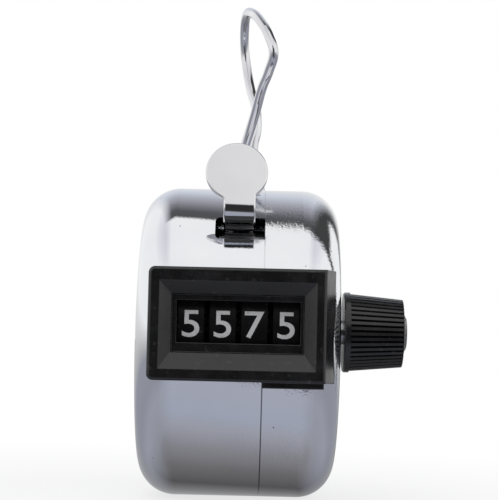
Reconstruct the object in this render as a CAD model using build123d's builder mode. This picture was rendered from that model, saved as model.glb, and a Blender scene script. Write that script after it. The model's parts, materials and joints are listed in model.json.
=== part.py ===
"""Hand tally counter: chromed drum case, four number wheels, thumb lever, reset knob and finger ring.

Millimetres. The origin is on the case axis, at the middle of the flat left side face.
+X runs along the case axis towards the reset knob, -Y faces the window, and +Z is up.
"""

import os
from math import atan2, cos, degrees, hypot, radians, sin

from build123d import *

# Case
CASE_R = 23.0
CASE_W = 29.0
EDGE_R = 5.5
SHEET = 0.6
SEAM_X = 18.0
LIP_LENGTH = 2.0
LIP_SHEET = 0.5
FIT = 0.05
KNOB_HOLE_ROOM = 0.6

# Lever slot, as angles above the horizontal on the front of the case
SLOT_LEFT_X = 10.9
SLOT_LOW_DEG = 39.0
SLOT_HIGH_DEG = 50.5
SLOT_CORNER_R = 0.7
CASE_CORE_R = 6.0

# Window surround
BEZEL_LEFT_X = 2.1
BEZEL_RIGHT_X = 26.5
BEZEL_FRONT_Y = -25.0
BEZEL_BACK_Y = -19.6
BEZEL_LOW_Z = -5.45
BEZEL_HIGH_Z = 10.15
BEZEL_CORNER_R = 0.9
SHOULDER_X = 28.0
SHOULDER_Y = -20.2
SHOULDER_TURN_R = 22.2
SHOULDER_ARC_R = 5.1
LEDGE_DROP = 0.8
LEDGE_Y = -22.5
BEZEL_EDGE_R = 0.5
FRAME_SIDE = 1.65
FRAME_TOP = 1.8
FRAME_BOTTOM = 2.3
FRAME_BORDER = 1.6
FRAME_RIGHT_BORDER = 1.3
FRAME_TOP_BORDER = 1.9
FRAME_DEPTH = 1.5
MASK_Y = -22.7
MASK_LOW_Z = -0.2
MASK_HIGH_Z = 5.6
MASK_LEFT_X = 6.0
MASK_RIGHT_X = 23.1
WHEEL_ROOM = 0.4

# Number wheels and their gearing, about an axis along X
AXIS_Y = -12.2
AXIS_Z = 1.75
WHEEL_R = 9.5
WHEEL_PITCH = 4.4
DRUM_W = 3.6
HUB_W = 4.2
HUB_R = 3.0
WEB_W = 1.2
RIM_IN_R = 8.5
MIDDLE_X = 14.55
SHAFT_R = 1.75
GEAR_TEETH = 20
GEAR_TIP_R = 8.35
GEAR_ROOT_R = 7.2
GEAR_IN_R = 6.2
CARRY_TIP_R = 8.1
PINION_TEETH = 8
PINION_DISTANCE = 11.2
PINION_DEG = -35.0
PINION_TIP_R = 3.75
PINION_ROOT_R = 2.4
PINION_CARRY_R = 2.9
PINION_SHAFT_R = 0.9
RUNNING = 0.05
RATCHET_TEETH = 10
RATCHET_TIP_R = 4.2
RATCHET_ROOT_R = 3.3
RATCHET_W = 0.9
RATCHET_RISE_DEG = 3.0
GEAR_TOOTH_ROOT_DEG = 9.0
GEAR_TOOTH_TIP_DEG = 4.0
CARRY_TOOTH_DEG = 9.0
PINION_TOOTH_ROOT_DEG = 20.0
PINION_TOOTH_TIP_DEG = 7.0
LOCKING_TOOTH_TIP_DEG = 12.0
PINION_STEP_X = DRUM_W / 2 + 0.08
PINION_HALF_W = 0.32
TOOTH_SINK = 0.2

# Inner frame
LEFT_PLATE_X = 2.4
RIGHT_PLATE_X = 25.4
PLATE_T = 0.8
PLATE_R = 19.0
PLATE_FLAT_Y = -19.3
PILLAR_R = 1.7
SPIGOT_R = 1.3
PILLARS = [(-2.0, -15.0), (14.0, -6.0), (10.5, 10.0)]
LIGHTENING_HOLES = [((7.0, 1.5), 4.0), ((7.0, -11.0), 2.6)]
SCREW_R = 0.7
SCREW_HEAD_R = 1.5
SCREW_LENGTH = 4.0
SCREW_SLOT = 0.35
SCREW_SLOT_LENGTH = 2.0
BUSH_R = SHAFT_R + 1.1
BUSH_FLANGE_R = SHAFT_R + 1.9
BUSH_FLANGE_T = 0.6

# Reset shaft
SHAFT_LEFT_X = 1.0
SHAFT_RIGHT_X = 36.6
CLIP_X = 1.5
CLIP_T = 0.4
CLIP_R = SHAFT_R + 0.9
CLIP_GROOVE_R = SHAFT_R - 0.4
CLIP_MOUTH = 1.6
SPACER_R = SHAFT_R + 0.9
KEYWAY_W = 0.7
KEYWAY_DEPTH = 0.5
KNOB_SCREW_R = 0.9
KNOB_SCREW_DEPTH = 3.5
KNOB_SCREW_HEAD_R = 1.8
KNOB_SCREW_HEAD_T = 0.9

# Thumb lever
PIVOT_Y = -10.5
PIVOT_Z = 14.2
LEVER_PIN_R = 1.0
LEVER_HUB_R = 1.9
LEVER_T = 0.8
NECK_X = 14.3
NECK_W = 4.5
NECK_KNEE_Y = -12.6
NECK_FAR_Y = -20.78
NECK_Z = 16.87
PAD_X = 13.8
PAD_R = 4.4
PAD_TILT_DEG = 15.0
PAD_RISE = 7.15
PAD_FLAT = 4.65
PAD_FILLET = 0.7
BEND_R = 1.9
HUB_LEFT_X = 11.4
ARM_WIDTH = 2.4
SPRING_X = 4.6
SPRING_PITCH = 0.55
SPRING_LENGTH = 5.5
SPRING_R = 1.65
SPRING_WIRE_R = 0.2

# Pawls
ARM_X = 24.25
ARM_T = 0.7
PAWL_X = 23.3
PAWL_T = 0.8
DRIVE_Y = -6.1
DRIVE_Z = 5.9
CHECK_Y = -7.0
CHECK_Z = -4.6
PAWL_HUB_R = 1.1
PAWL_PIN_R = 0.5
PAWL_GAP = 0.15
PAWL_HALF_WIDTH = 0.9
PAWL_HEEL = 1.3
DRIVE_TIP_DEG = 62.0
CHECK_TIP_DEG = -72.0
HEEL_DEG = 8.0
CHECK_SPRING_LINE = [(-2.0, -13.1), (-6.0, -11.5), (-10.2, -6.2)]
CHECK_SPRING_BEND_R = 3.0
CHECK_SPRING_T = 0.3

# Reset knob
KNOB_X = 29.5
KNOB_END_X = 38.6
KNOB_FLANGE_R = 5.75
KNOB_FLANGE_T = 0.9
KNOB_BIG_R = 5.55
KNOB_SMALL_R = 4.8
KNOB_RIBS = 44
RIB_DEPTH = 0.38
RIB_TOP_END = 0.55
RIB_GROOVE = 0.78
CROWN_T = 0.6
CROWN_FLAT_R = 2.2
CROWN_ROUND_R = 4.0
KNOB_RECESS_R = 2.0
KNOB_RECESS_DEPTH = 1.2

# Finger ring and its bracket
RING_WIRE_R = 0.75
RING_X = 14.9
RING_AXIS_R = 24.45
RING_AXIS_DEG = 62.0
LUG_W = 2.6
LUG_R = 1.35
FOOT_T = 0.8
FOOT_DEG = 24.0
RIVET_R = 0.6
RIVET_TAIL_R = 1.1
RIVET_TAIL_T = 0.5
RIVET_HEAD_R = 1.15
RIVET_HEAD_T = 0.6
RIVET_TAPER_DEG = 20.0
RIVET_TAIL_ROOM = 1.6
HOOK_DEPTH = 1.1
HOOK_R = 1.3


def on_axis(radius, angle):
    """A point of the wheel axis's own circle, as (y, z), with the angle counted from +Y towards +Z."""
    return (
        AXIS_Y + radius * cos(radians(angle)),
        AXIS_Z + radius * sin(radians(angle)),
    )


def side_plane(x):
    """A plane across the case axis, whose own x and y are the model's y and z."""
    return Plane(origin=(x, 0, 0), x_dir=(0, 1, 0), z_dir=(1, 0, 0))


def rod(x_from, x_to, radius, y, z):
    """A round bar along X."""
    with BuildPart() as bar:
        with BuildSketch(side_plane(x_from)):
            with Locations((y, z)):
                Circle(radius)
        extrude(amount=x_to - x_from)
    return bar.part


def sector(radius, low_deg, high_deg):
    """A wedge of a disc about the case axis, with its angles counted from +Y."""
    with BuildSketch() as wedge:
        with BuildLine():
            Line((0, 0), (radius * cos(radians(low_deg)), radius * sin(radians(low_deg))))
            CenterArc((0, 0), radius, low_deg, high_deg - low_deg)
            Line((radius * cos(radians(high_deg)), radius * sin(radians(high_deg))), (0, 0))
        make_face()
    return wedge.sketch


def rivet_plane(angle, distance):
    """A plane facing outwards over a bracket rivet, this far from the case axis."""
    across = Plane(origin=(RING_X, 0, 0), z_dir=(0, cos(radians(angle)), sin(radians(angle))))
    return across.offset(distance)


def save(piece, name):
    """Label a finished piece and write its STEP file."""
    piece.label = name
    export_step(piece, f"parts/{name}.step")


os.makedirs("parts", exist_ok=True)

PINION_Y, PINION_Z = on_axis(PINION_DISTANCE, PINION_DEG)
RING_Y = RING_AXIS_R * cos(radians(RING_AXIS_DEG))
RING_Z = RING_AXIS_R * sin(radians(RING_AXIS_DEG))
WHEEL_NAMES = ["thousands", "hundreds", "tens", "units"]
WHEEL_X = [MIDDLE_X + (place - 1.5) * WHEEL_PITCH for place in range(4)]
RATCHET_X = WHEEL_X[3] + HUB_W / 2
BRACKET_RIVET_DEG = [RING_AXIS_DEG - 9.5, RING_AXIS_DEG - 18.5]

# ---------------------------------------------------------------- tools that cut the case


def window_opening(gap):
    """The prism that the window surround passes through, a little larger than it."""
    with BuildPart() as prism:
        with BuildSketch(Plane.XY.offset(BEZEL_LOW_Z - gap)):
            with BuildLine():
                Polyline(
                    (BEZEL_LEFT_X - gap, BEZEL_FRONT_Y - 2),
                    (BEZEL_RIGHT_X + gap, BEZEL_FRONT_Y - 2),
                    (BEZEL_RIGHT_X + gap, BEZEL_FRONT_Y),
                    (SHOULDER_X + gap, SHOULDER_Y),
                    (SHOULDER_X + gap, BEZEL_BACK_Y + 4),
                    (BEZEL_LEFT_X - gap, BEZEL_BACK_Y + 4),
                    close=True,
                )
            make_face()
        extrude(amount=BEZEL_HIGH_Z - BEZEL_LOW_Z + 2 * gap)
        fillet(prism.edges().filter_by(Axis.Y).group_by(Axis.X)[0], BEZEL_CORNER_R + gap)
    return prism.part


def ledge_opening(gap):
    """The lower part of the right shell's window opening."""
    with BuildPart() as prism:
        with BuildSketch(Plane.XY.offset(BEZEL_LOW_Z - LEDGE_DROP - gap)):
            with Locations(((SEAM_X + BEZEL_RIGHT_X) / 2, -20)):
                Rectangle(BEZEL_RIGHT_X - SEAM_X + 2 * gap, 12)
        extrude(amount=LEDGE_DROP + 2 * gap)
    return prism.part


def lever_slot():
    """The slot for the lever's neck, with rounded corners on its closed side."""
    low_z = CASE_R * sin(radians(SLOT_LOW_DEG))
    high_z = CASE_R * sin(radians(SLOT_HIGH_DEG))
    with BuildPart() as slot:
        with BuildSketch(Plane.XZ.offset(CASE_CORE_R)) as outline:
            with Locations(((SLOT_LEFT_X + SEAM_X) / 2, (low_z + high_z) / 2)):
                Rectangle(SEAM_X - SLOT_LEFT_X, high_z - low_z)
            fillet(outline.vertices().group_by(Axis.X)[0], SLOT_CORNER_R)
        extrude(amount=CASE_R)
    return slot.part


window_cut = window_opening(FIT)
ledge_cut = ledge_opening(FIT)
slot_cut = lever_slot()

# ---------------------------------------------------------------- case

with BuildPart() as left_shell:
    with BuildSketch(Plane.XY):
        with BuildLine():
            Line((0, 0), (0, CASE_R - EDGE_R))
            RadiusArc((0, CASE_R - EDGE_R), (EDGE_R, CASE_R), EDGE_R)
            Line((EDGE_R, CASE_R), (SEAM_X - FIT / 2, CASE_R))
            Line((SEAM_X - FIT / 2, CASE_R), (SEAM_X - FIT / 2, CASE_R - SHEET))
            Line((SEAM_X - FIT / 2, CASE_R - SHEET), (EDGE_R, CASE_R - SHEET))
            RadiusArc((EDGE_R, CASE_R - SHEET), (SHEET, CASE_R - EDGE_R), -(EDGE_R - SHEET))
            Line((SHEET, CASE_R - EDGE_R), (SHEET, 0))
            Line((SHEET, 0), (0, 0))
        make_face()
    revolve(axis=Axis.X)
    add(window_cut, mode=Mode.SUBTRACT)
    add(slot_cut, mode=Mode.SUBTRACT)
    for pillar_y, pillar_z in PILLARS:
        with BuildSketch(side_plane(0)):
            with Locations((pillar_y, pillar_z)):
                Circle(SCREW_HEAD_R)
        with BuildSketch(side_plane(SHEET)):
            with Locations((pillar_y, pillar_z)):
                Circle(SCREW_R)
        loft(mode=Mode.SUBTRACT)
    for angle in BRACKET_RIVET_DEG:
        with BuildSketch(rivet_plane(angle, CASE_R - 2 * SHEET)):
            Circle(RIVET_R)
        extrude(amount=3 * SHEET, mode=Mode.SUBTRACT)
save(left_shell.part, "left_shell")

LIP_R = CASE_R - SHEET - FIT
with BuildPart() as right_shell:
    with BuildSketch(Plane.XY):
        with BuildLine():
            Line((CASE_W, 0), (CASE_W, CASE_R - EDGE_R))
            RadiusArc((CASE_W, CASE_R - EDGE_R), (CASE_W - EDGE_R, CASE_R), -EDGE_R)
            Line((CASE_W - EDGE_R, CASE_R), (SEAM_X + FIT / 2, CASE_R))
            Line((SEAM_X + FIT / 2, CASE_R), (SEAM_X + FIT / 2, LIP_R))
            Line((SEAM_X + FIT / 2, LIP_R), (SEAM_X - LIP_LENGTH, LIP_R))
            Line((SEAM_X - LIP_LENGTH, LIP_R), (SEAM_X - LIP_LENGTH, LIP_R - LIP_SHEET))
            Line((SEAM_X - LIP_LENGTH, LIP_R - LIP_SHEET), (SEAM_X + SHEET, LIP_R - LIP_SHEET))
            Line((SEAM_X + SHEET, LIP_R - LIP_SHEET), (SEAM_X + SHEET, CASE_R - SHEET))
            Line((SEAM_X + SHEET, CASE_R - SHEET), (CASE_W - EDGE_R, CASE_R - SHEET))
            RadiusArc(
                (CASE_W - EDGE_R, CASE_R - SHEET), (CASE_W - SHEET, CASE_R - EDGE_R), EDGE_R - SHEET
            )
            Line((CASE_W - SHEET, CASE_R - EDGE_R), (CASE_W - SHEET, 0))
            Line((CASE_W - SHEET, 0), (CASE_W, 0))
        make_face()
    revolve(axis=Axis.X)
    add(window_cut, mode=Mode.SUBTRACT)
    add(ledge_cut, mode=Mode.SUBTRACT)
    add(slot_cut, mode=Mode.SUBTRACT)
    for pillar_y, pillar_z in PILLARS:
        with BuildSketch(side_plane(CASE_W - SHEET)):
            with Locations((pillar_y, pillar_z)):
                Circle(SCREW_R)
        with BuildSketch(side_plane(CASE_W)):
            with Locations((pillar_y, pillar_z)):
                Circle(SCREW_HEAD_R)
        loft(mode=Mode.SUBTRACT)
    with BuildSketch(side_plane(CASE_W - 2 * SHEET)):
        with Locations((AXIS_Y, AXIS_Z)):
            Circle(SHAFT_R + KNOB_HOLE_ROOM)
    extrude(amount=3 * SHEET, mode=Mode.SUBTRACT)
    for angle in BRACKET_RIVET_DEG:
        with BuildSketch(rivet_plane(angle, LIP_R - 2 * LIP_SHEET)):
            Circle(RIVET_TAIL_ROOM)
        extrude(amount=CASE_R - LIP_R + LIP_SHEET, mode=Mode.SUBTRACT)
save(right_shell.part, "right_shell")

# ---------------------------------------------------------------- window surround

frame_left = BEZEL_LEFT_X + FRAME_BORDER
frame_right = BEZEL_RIGHT_X - FRAME_RIGHT_BORDER
frame_low = BEZEL_LOW_Z + FRAME_BORDER
frame_high = BEZEL_HIGH_Z - FRAME_TOP_BORDER


def window_rectangle(y, left, right, low, high):
    """A rectangle facing the front, on the plane at this y."""
    with BuildSketch(Plane.XZ.offset(-y)) as outline:
        with Locations(((left + right) / 2, (low + high) / 2)):
            Rectangle(right - left, high - low)
    return outline.sketch


inner_left = frame_left + FRAME_SIDE
inner_right = frame_right - FRAME_SIDE
inner_low = frame_low + FRAME_BOTTOM
inner_high = frame_high - FRAME_TOP

frame_recess = loft(
    [
        window_rectangle(BEZEL_FRONT_Y, frame_left, frame_right, frame_low, frame_high),
        window_rectangle(BEZEL_FRONT_Y + FRAME_DEPTH, inner_left, inner_right, inner_low, inner_high),
    ],
    ruled=True,
)
front_corner_r = hypot(BEZEL_FRONT_Y, BEZEL_HIGH_Z)
with BuildPart() as shoulder_trim_body:
    with BuildSketch(Plane.XY):
        with BuildLine():
            RadiusArc((BEZEL_RIGHT_X, front_corner_r), (SHOULDER_X, SHOULDER_TURN_R), SHOULDER_ARC_R)
            Line((SHOULDER_X, SHOULDER_TURN_R), (CASE_W, SHOULDER_TURN_R))
            Line((CASE_W, SHOULDER_TURN_R), (CASE_W, front_corner_r))
            Line((CASE_W, front_corner_r), (BEZEL_RIGHT_X, front_corner_r))
        make_face()
    revolve(axis=Axis.X)
shoulder_trim = shoulder_trim_body.part

with BuildPart() as window_bezel:
    with BuildSketch(Plane.XY.offset(BEZEL_LOW_Z)):
        with BuildLine():
            Polyline(
                (BEZEL_LEFT_X, BEZEL_FRONT_Y),
                (BEZEL_RIGHT_X, BEZEL_FRONT_Y),
                (SHOULDER_X, SHOULDER_Y),
                (SHOULDER_X, BEZEL_BACK_Y),
                (BEZEL_LEFT_X, BEZEL_BACK_Y),
                close=True,
            )
        make_face()
    extrude(amount=BEZEL_HIGH_Z - BEZEL_LOW_Z)
    fillet(window_bezel.edges().filter_by(Axis.Y).group_by(Axis.X)[0], BEZEL_CORNER_R)
    fillet(window_bezel.faces().sort_by(Axis.Y)[0].edges(), BEZEL_EDGE_R)
    add(shoulder_trim, mode=Mode.SUBTRACT)
    with BuildSketch(Plane.XY.offset(BEZEL_LOW_Z - LEDGE_DROP)):
        with Locations(((SEAM_X + BEZEL_RIGHT_X) / 2, (LEDGE_Y + BEZEL_BACK_Y) / 2)):
            Rectangle(BEZEL_RIGHT_X - SEAM_X - 2 * FIT, BEZEL_BACK_Y - LEDGE_Y)
    extrude(amount=LEDGE_DROP + BEZEL_EDGE_R)
    add(frame_recess, mode=Mode.SUBTRACT)
    with BuildSketch(Plane.XZ.offset(-MASK_Y)):
        with Locations(((inner_left + inner_right) / 2, (inner_low + inner_high) / 2)):
            Rectangle(inner_right - inner_left, inner_high - inner_low)
    extrude(amount=MASK_Y - BEZEL_FRONT_Y, mode=Mode.SUBTRACT)
    with BuildSketch(Plane.XZ.offset(-BEZEL_BACK_Y)):
        with Locations(((MASK_LEFT_X + MASK_RIGHT_X) / 2, (MASK_LOW_Z + MASK_HIGH_Z) / 2)):
            Rectangle(MASK_RIGHT_X - MASK_LEFT_X, MASK_HIGH_Z - MASK_LOW_Z)
    extrude(amount=BEZEL_BACK_Y - BEZEL_FRONT_Y, mode=Mode.SUBTRACT)
    with BuildSketch(side_plane(inner_left - 0.2)):
        with Locations((AXIS_Y, AXIS_Z)):
            Circle(WHEEL_R + WHEEL_ROOM)
    extrude(amount=inner_right - inner_left + 0.6, mode=Mode.SUBTRACT)
save(window_bezel.part, "window_bezel")

# ---------------------------------------------------------------- inner frame


def frame_plate(x):
    """One side plate of the inner frame, with its holes and two lightening holes."""
    with BuildPart() as plate:
        with BuildSketch(side_plane(x)):
            Circle(PLATE_R)
            with Locations((PLATE_FLAT_Y, 0)):
                Rectangle(PLATE_R, 2 * PLATE_R, align=(Align.MAX, Align.CENTER), mode=Mode.SUBTRACT)
            with Locations((AXIS_Y, AXIS_Z)):
                Circle(BUSH_R, mode=Mode.SUBTRACT)
            with Locations((PIVOT_Y, PIVOT_Z)):
                Circle(LEVER_PIN_R, mode=Mode.SUBTRACT)
            with Locations((PINION_Y, PINION_Z)):
                Circle(PINION_SHAFT_R, mode=Mode.SUBTRACT)
            with Locations(*PILLARS):
                Circle(SPIGOT_R, mode=Mode.SUBTRACT)
            for hole_centre, hole_r in LIGHTENING_HOLES:
                with Locations(hole_centre):
                    Circle(hole_r, mode=Mode.SUBTRACT)
        extrude(amount=PLATE_T)
    return plate.part


save(frame_plate(LEFT_PLATE_X), "left_plate")

check_pin_hole = rod(RIGHT_PLATE_X - 1, RIGHT_PLATE_X + 2, PAWL_PIN_R, CHECK_Y, CHECK_Z)
with BuildPart() as right_plate:
    add(frame_plate(RIGHT_PLATE_X))
    add(check_pin_hole, mode=Mode.SUBTRACT)
save(right_plate.part, "right_plate")

with BuildPart() as frame_pillars:
    with BuildSketch(side_plane(SHEET)):
        with Locations(*PILLARS):
            Circle(SPIGOT_R)
    extrude(amount=CASE_W - 2 * SHEET)
    with BuildSketch(side_plane(LEFT_PLATE_X + PLATE_T)):
        with Locations(*PILLARS):
            Circle(PILLAR_R)
    extrude(amount=RIGHT_PLATE_X - LEFT_PLATE_X - PLATE_T)
    for end_x in (SHEET, CASE_W - SHEET - SCREW_LENGTH):
        with BuildSketch(side_plane(end_x)):
            with Locations(*PILLARS):
                Circle(SCREW_R)
        extrude(amount=SCREW_LENGTH, mode=Mode.SUBTRACT)
save(frame_pillars.part, "frame_pillars")


def case_screw(face_x, inward, y, z):
    """A flush cross-slotted screw from the case's side face into a pillar."""
    with BuildPart() as screw:
        with BuildSketch(side_plane(face_x)):
            with Locations((y, z)):
                Circle(SCREW_HEAD_R)
        with BuildSketch(side_plane(face_x + inward * SHEET)):
            with Locations((y, z)):
                Circle(SCREW_R)
        loft()
        with BuildSketch(side_plane(face_x + inward * SHEET)):
            with Locations((y, z)):
                Circle(SCREW_R)
        extrude(amount=inward * (SCREW_LENGTH - RUNNING))
        with BuildSketch(side_plane(face_x)):
            with Locations((y, z)):
                Rectangle(SCREW_SLOT_LENGTH, SCREW_SLOT)
                Rectangle(SCREW_SLOT, SCREW_SLOT_LENGTH)
        extrude(amount=inward * SCREW_SLOT, mode=Mode.SUBTRACT)
    return screw.part


with BuildPart() as case_screws:
    for pillar_y, pillar_z in PILLARS:
        add(case_screw(0, 1, pillar_y, pillar_z))
        add(case_screw(CASE_W, -1, pillar_y, pillar_z))
save(case_screws.part, "case_screws")

shaft_bore = rod(0, CASE_W, SHAFT_R + RUNNING, AXIS_Y, AXIS_Z)
with BuildPart() as shaft_bushes:
    for plate_x, flange_x in (
        (LEFT_PLATE_X, LEFT_PLATE_X + PLATE_T),
        (RIGHT_PLATE_X, RIGHT_PLATE_X - BUSH_FLANGE_T),
    ):
        with BuildSketch(side_plane(plate_x)):
            with Locations((AXIS_Y, AXIS_Z)):
                Circle(BUSH_R)
        extrude(amount=PLATE_T)
        with BuildSketch(side_plane(flange_x)):
            with Locations((AXIS_Y, AXIS_Z)):
                Circle(BUSH_FLANGE_R)
        extrude(amount=BUSH_FLANGE_T)
    add(shaft_bore, mode=Mode.SUBTRACT)
save(shaft_bushes.part, "shaft_bushes")

# ---------------------------------------------------------------- reset shaft and knob

keyway_left = LEFT_PLATE_X + PLATE_T + BUSH_FLANGE_T
keyway_right = RIGHT_PLATE_X - BUSH_FLANGE_T
with BuildPart() as wheel_shaft:
    with BuildSketch(side_plane(SHAFT_LEFT_X)):
        with Locations((AXIS_Y, AXIS_Z)):
            Circle(SHAFT_R)
    extrude(amount=SHAFT_RIGHT_X - SHAFT_LEFT_X)
    with BuildSketch(side_plane(keyway_left)):
        with Locations((AXIS_Y + SHAFT_R, AXIS_Z)):
            Rectangle(2 * KEYWAY_DEPTH, KEYWAY_W)
    extrude(amount=keyway_right - keyway_left, mode=Mode.SUBTRACT)
    with BuildSketch(side_plane(CLIP_X)):
        with Locations((AXIS_Y, AXIS_Z)):
            Circle(CLIP_R)
            Circle(CLIP_GROOVE_R, mode=Mode.SUBTRACT)
    extrude(amount=CLIP_T, mode=Mode.SUBTRACT)
    with BuildSketch(side_plane(SHAFT_RIGHT_X - KNOB_SCREW_DEPTH)):
        with Locations((AXIS_Y, AXIS_Z)):
            Circle(KNOB_SCREW_R)
    extrude(amount=KNOB_SCREW_DEPTH, mode=Mode.SUBTRACT)
save(wheel_shaft.part, "wheel_shaft")

with BuildPart() as shaft_clip:
    with BuildSketch(side_plane(CLIP_X)):
        with Locations((AXIS_Y, AXIS_Z)):
            Circle(CLIP_R)
            Circle(CLIP_GROOVE_R, mode=Mode.SUBTRACT)
            Rectangle(CLIP_MOUTH, CLIP_R, align=(Align.CENTER, Align.MAX), mode=Mode.SUBTRACT)
    extrude(amount=CLIP_T)
save(shaft_clip.part, "shaft_clip")

SPACER_SPANS = [
    (LEFT_PLATE_X + PLATE_T + BUSH_FLANGE_T + RUNNING, WHEEL_X[0] - HUB_W / 2 - RUNNING),
    (RATCHET_X + RATCHET_W + RUNNING, RIGHT_PLATE_X - BUSH_FLANGE_T - RUNNING),
]
with BuildPart() as shaft_spacers:
    for spacer_left, spacer_right in SPACER_SPANS:
        with BuildSketch(side_plane(spacer_left)):
            with Locations((AXIS_Y, AXIS_Z)):
                Circle(SPACER_R)
                Circle(SHAFT_R, mode=Mode.SUBTRACT)
        extrude(amount=spacer_right - spacer_left)
save(shaft_spacers.part, "shaft_spacers")


def rib_outline(x, tip_r):
    """The knob's ribbed outline: narrow V grooves between broad ribs."""
    step = 360 / KNOB_RIBS
    corners = []
    for rib in range(KNOB_RIBS):
        for share, radius in ((0, tip_r), (RIB_TOP_END, tip_r), (RIB_GROOVE, tip_r - RIB_DEPTH)):
            angle = radians((rib + share) * step)
            corners.append((AXIS_Y + radius * cos(angle), AXIS_Z + radius * sin(angle)))
    with BuildSketch(side_plane(x)) as outline:
        with BuildLine():
            Polyline(*corners, close=True)
        make_face()
    return outline.sketch


ribbed_grip = loft(
    [rib_outline(KNOB_X + KNOB_FLANGE_T, KNOB_BIG_R), rib_outline(KNOB_END_X, KNOB_SMALL_R)],
    ruled=True,
)
crown_x = KNOB_END_X - CROWN_T
beyond_x = KNOB_END_X + CROWN_T
knob_bore = rod(KNOB_X, SHAFT_RIGHT_X, SHAFT_R, AXIS_Y, AXIS_Z)
knob_screw_hole = rod(SHAFT_RIGHT_X, KNOB_END_X, KNOB_SCREW_R + FIT, AXIS_Y, AXIS_Z)
knob_recess = rod(KNOB_END_X - KNOB_RECESS_DEPTH, KNOB_END_X, KNOB_RECESS_R, AXIS_Y, AXIS_Z)
with BuildPart() as reset_knob:
    add(ribbed_grip)
    with BuildSketch(side_plane(KNOB_X)):
        with Locations((AXIS_Y, AXIS_Z)):
            Circle(KNOB_FLANGE_R)
    extrude(amount=KNOB_FLANGE_T)
    chamfer(reset_knob.edges().filter_by(GeomType.CIRCLE).group_by(Axis.X)[0], 0.2)
    with BuildSketch(Plane.XY.offset(AXIS_Z)):
        with BuildLine():
            Line((crown_x, AXIS_Y - KNOB_BIG_R), (crown_x, AXIS_Y - KNOB_SMALL_R))
            RadiusArc((crown_x, AXIS_Y - KNOB_SMALL_R), (KNOB_END_X, AXIS_Y - CROWN_FLAT_R), CROWN_ROUND_R)
            Line((KNOB_END_X, AXIS_Y - CROWN_FLAT_R), (beyond_x, AXIS_Y - CROWN_FLAT_R))
            Line((beyond_x, AXIS_Y - CROWN_FLAT_R), (beyond_x, AXIS_Y - KNOB_BIG_R))
            Line((beyond_x, AXIS_Y - KNOB_BIG_R), (crown_x, AXIS_Y - KNOB_BIG_R))
        make_face()
    revolve(axis=Axis((0, AXIS_Y, AXIS_Z), (1, 0, 0)), mode=Mode.SUBTRACT)
    add([knob_bore, knob_screw_hole, knob_recess], mode=Mode.SUBTRACT)
save(reset_knob.part, "reset_knob")

screw_head_x = KNOB_END_X - KNOB_RECESS_DEPTH
with BuildPart() as knob_screw:
    with BuildSketch(side_plane(SHAFT_RIGHT_X - KNOB_SCREW_DEPTH)):
        with Locations((AXIS_Y, AXIS_Z)):
            Circle(KNOB_SCREW_R)
    extrude(amount=screw_head_x - SHAFT_RIGHT_X + KNOB_SCREW_DEPTH)
    with BuildSketch(side_plane(screw_head_x)):
        with Locations((AXIS_Y, AXIS_Z)):
            Circle(KNOB_SCREW_HEAD_R)
    extrude(amount=KNOB_SCREW_HEAD_T)
    with BuildSketch(side_plane(screw_head_x + KNOB_SCREW_HEAD_T)):
        with Locations((AXIS_Y, AXIS_Z)):
            Rectangle(SCREW_SLOT, 2 * KNOB_SCREW_HEAD_R)
    extrude(amount=-SCREW_SLOT, mode=Mode.SUBTRACT)
save(knob_screw.part, "knob_screw")

# ---------------------------------------------------------------- number wheels and ratchet


def teeth(centre, root_r, tip_r, turns_deg, root_deg, tip_deg):
    """Straight-sided teeth around a centre, one at each of these angles, each this wide at root and tip."""
    with BuildSketch() as ring:
        for turn in turns_deg:
            corners = []
            for radius, half in (
                (root_r - TOOTH_SINK, -root_deg / 2),
                (tip_r, -tip_deg / 2),
                (tip_r, tip_deg / 2),
                (root_r - TOOTH_SINK, root_deg / 2),
            ):
                angle = radians(turn + half)
                corners.append((centre[0] + radius * cos(angle), centre[1] + radius * sin(angle)))
            with BuildLine():
                Polyline(*corners, close=True)
            make_face()
    return ring.sketch


GEAR_TURNS = [PINION_DEG + tooth * 360 / GEAR_TEETH for tooth in range(GEAR_TEETH)]
CARRY_TURNS = [PINION_DEG + 90 - CARRY_TOOTH_DEG, PINION_DEG + 90 + CARRY_TOOTH_DEG]


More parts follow.
